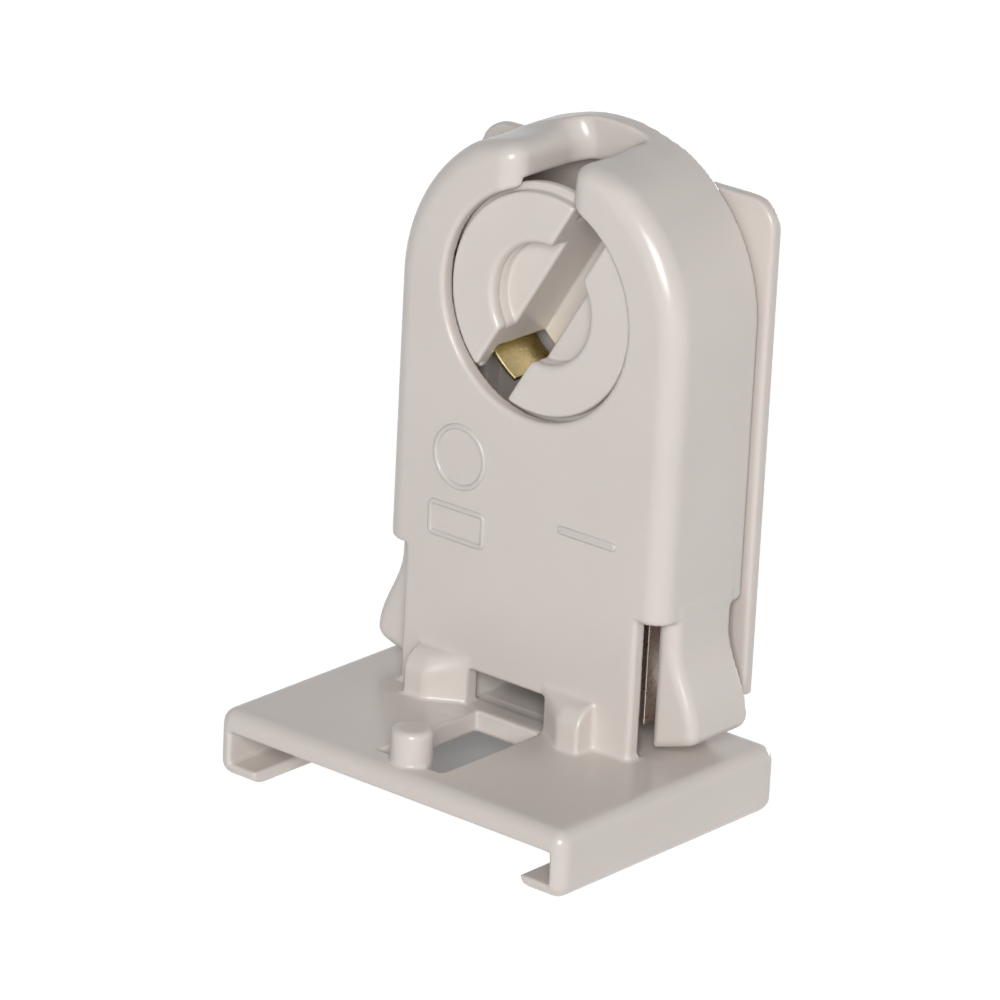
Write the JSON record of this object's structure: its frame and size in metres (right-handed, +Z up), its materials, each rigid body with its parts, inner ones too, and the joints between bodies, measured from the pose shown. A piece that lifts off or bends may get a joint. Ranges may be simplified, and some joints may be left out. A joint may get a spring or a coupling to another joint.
{
  "type": "fluorescent tube lamp holder",
  "caption": "White plastic rotary lamp holder for a fluorescent tube with two pins, with an arched tower, a slotted rotor and a channel foot that slides over a rail.",
  "frame": {"origin": "middle of the foot's underside, which stands on the ground", "axes": "+Z up along the tower, -Y out of the face that takes the lamp, +X to the right of that face"},
  "size_m": [0.0338, 0.0252, 0.0507],
  "materials": {
    "housing_plastic": "moulded, glossy, warm white",
    "cover_plastic": "moulded, glossy, warm white",
    "rotor_plastic": "moulded, glossy, warm white",
    "contact_brass": "rolled strip, slightly dull",
    "spring_steel": "rolled strip"
  },
  "bodies": {
    "holder": {"housing": "housing_plastic", "rear_cover": "cover_plastic", "contact_left": "contact_brass", "contact_right": "contact_brass", "wire_clamp_left": "spring_steel", "wire_clamp_right": "spring_steel"},
    "rotor": {"rotor": "rotor_plastic"}
  },
  "joints": [
    {"name": "rotor_turn", "type": "hinge", "parent": "holder", "child": "rotor", "pos_m": [0, 0.0016, 0.038], "axis": [0, 1, 0], "continuous": true}
  ]
}
